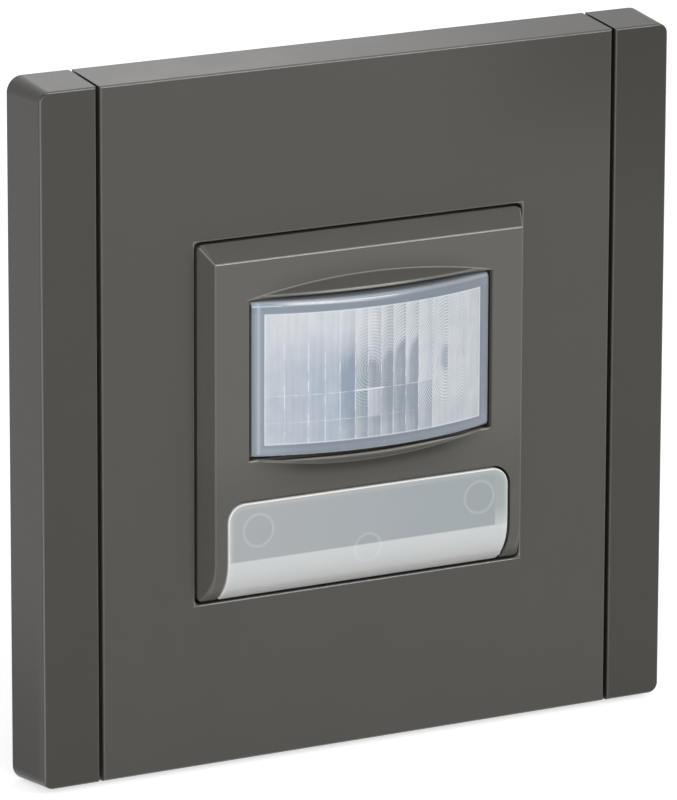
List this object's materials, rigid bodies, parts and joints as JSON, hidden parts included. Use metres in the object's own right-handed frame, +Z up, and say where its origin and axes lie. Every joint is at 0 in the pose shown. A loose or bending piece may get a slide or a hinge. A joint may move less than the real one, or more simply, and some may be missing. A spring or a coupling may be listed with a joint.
{
  "type": "motion sensor light switch",
  "caption": "Flush wall switch with a motion sensor: square frame, bulged ribbed lens, translucent flap over rotary adjusters, steel support plate and boxed relay insert.",
  "frame": {"origin": "middle of the support plate's back face, in the plane of the finished wall", "axes": "+Z up, -Y out of the wall towards the room, +X to the right as seen from the room"},
  "size_m": [0.0884, 0.0436, 0.0884],
  "materials": {
    "frame_plastic": "satin, warm dark bronze",
    "cover_plastic": "satin, warm bronze",
    "lens_plastic": "milky translucent, with fine moulded rings",
    "flap_plastic": "translucent, lightly frosted",
    "adjuster_plastic": "moulded",
    "potentiometer_plastic": "moulded",
    "black_plastic": "moulded",
    "grey_plastic": "moulded",
    "zinc_steel": "zinc plated",
    "clamp_brass": "plain",
    "green_laminate": "solder resist",
    "nickel_can": "nickel plated",
    "dark_window": "polished filter",
    "clear_resin": "clear",
    "relay_plastic": "moulded",
    "capacitor_plastic": "moulded",
    "sleeve_plastic": "shrink sleeve",
    "ferrite": "ferrite and enamelled wire",
    "varistor_coating": "dipped coating"
  },
  "bodies": {
    "base": {"frame_carrier": "black_plastic", "centre_panel": "frame_plastic", "left_side_strip": "frame_plastic", "right_side_strip": "frame_plastic", "support_plate": "zinc_steel", "housing_rivets": "zinc_steel", "sensor_cover": "cover_plastic", "fresnel_lens": "lens_plastic", "lens_retainer": "black_plastic", "sensor_board": "green_laminate", "sensor_back_cover": "black_plastic", "head_screws": "zinc_steel", "time_potentiometer": "potentiometer_plastic", "brightness_potentiometer": "potentiometer_plastic", "range_potentiometer": "potentiometer_plastic", "pir_sensor_can": "nickel_can", "pir_window": "dark_window", "light_sensor": "clear_resin", "indicator_led": "clear_resin", "controller_chip": "black_plastic", "plug_header": "black_plastic", "header_socket": "black_plastic", "module_housing": "grey_plastic", "module_lid": "grey_plastic", "power_board": "green_laminate", "relay": "relay_plastic", "film_capacitor": "capacitor_plastic", "electrolytic_capacitor": "sleeve_plastic", "bridge_rectifier": "black_plastic", "suppressor_choke": "ferrite", "fuse": "relay_plastic", "varistor": "varistor_coating", "terminal_block": "grey_plastic", "terminal_clamps": "clamp_brass", "terminal_screws": "zinc_steel"},
    "flap": {"settings_flap": "flap_plastic"},
    "time_dial": {"time_adjuster": "adjuster_plastic"},
    "brightness_dial": {"brightness_adjuster": "adjuster_plastic"},
    "range_dial": {"range_adjuster": "adjuster_plastic"}
  },
  "joints": [
    {"name": "flap_hinge", "type": "hinge", "parent": "base", "child": "flap", "pos_m": [0, -0.00747, -0.02117], "axis": [1, 0, 0], "range_deg": [0, 85]},
    {"name": "time_turn", "type": "hinge", "parent": "base", "child": "time_dial", "pos_m": [-0.0155, -0.006, -0.0135], "axis": [0, 1, 0], "range_deg": [-135, 135]},
    {"name": "brightness_turn", "type": "hinge", "parent": "base", "child": "brightness_dial", "pos_m": [0, -0.006, -0.0178], "axis": [0, 1, 0], "range_deg": [-135, 135]},
    {"name": "range_turn", "type": "hinge", "parent": "base", "child": "range_dial", "pos_m": [0.0155, -0.006, -0.0135], "axis": [0, 1, 0], "range_deg": [-135, 135]}
  ]
}
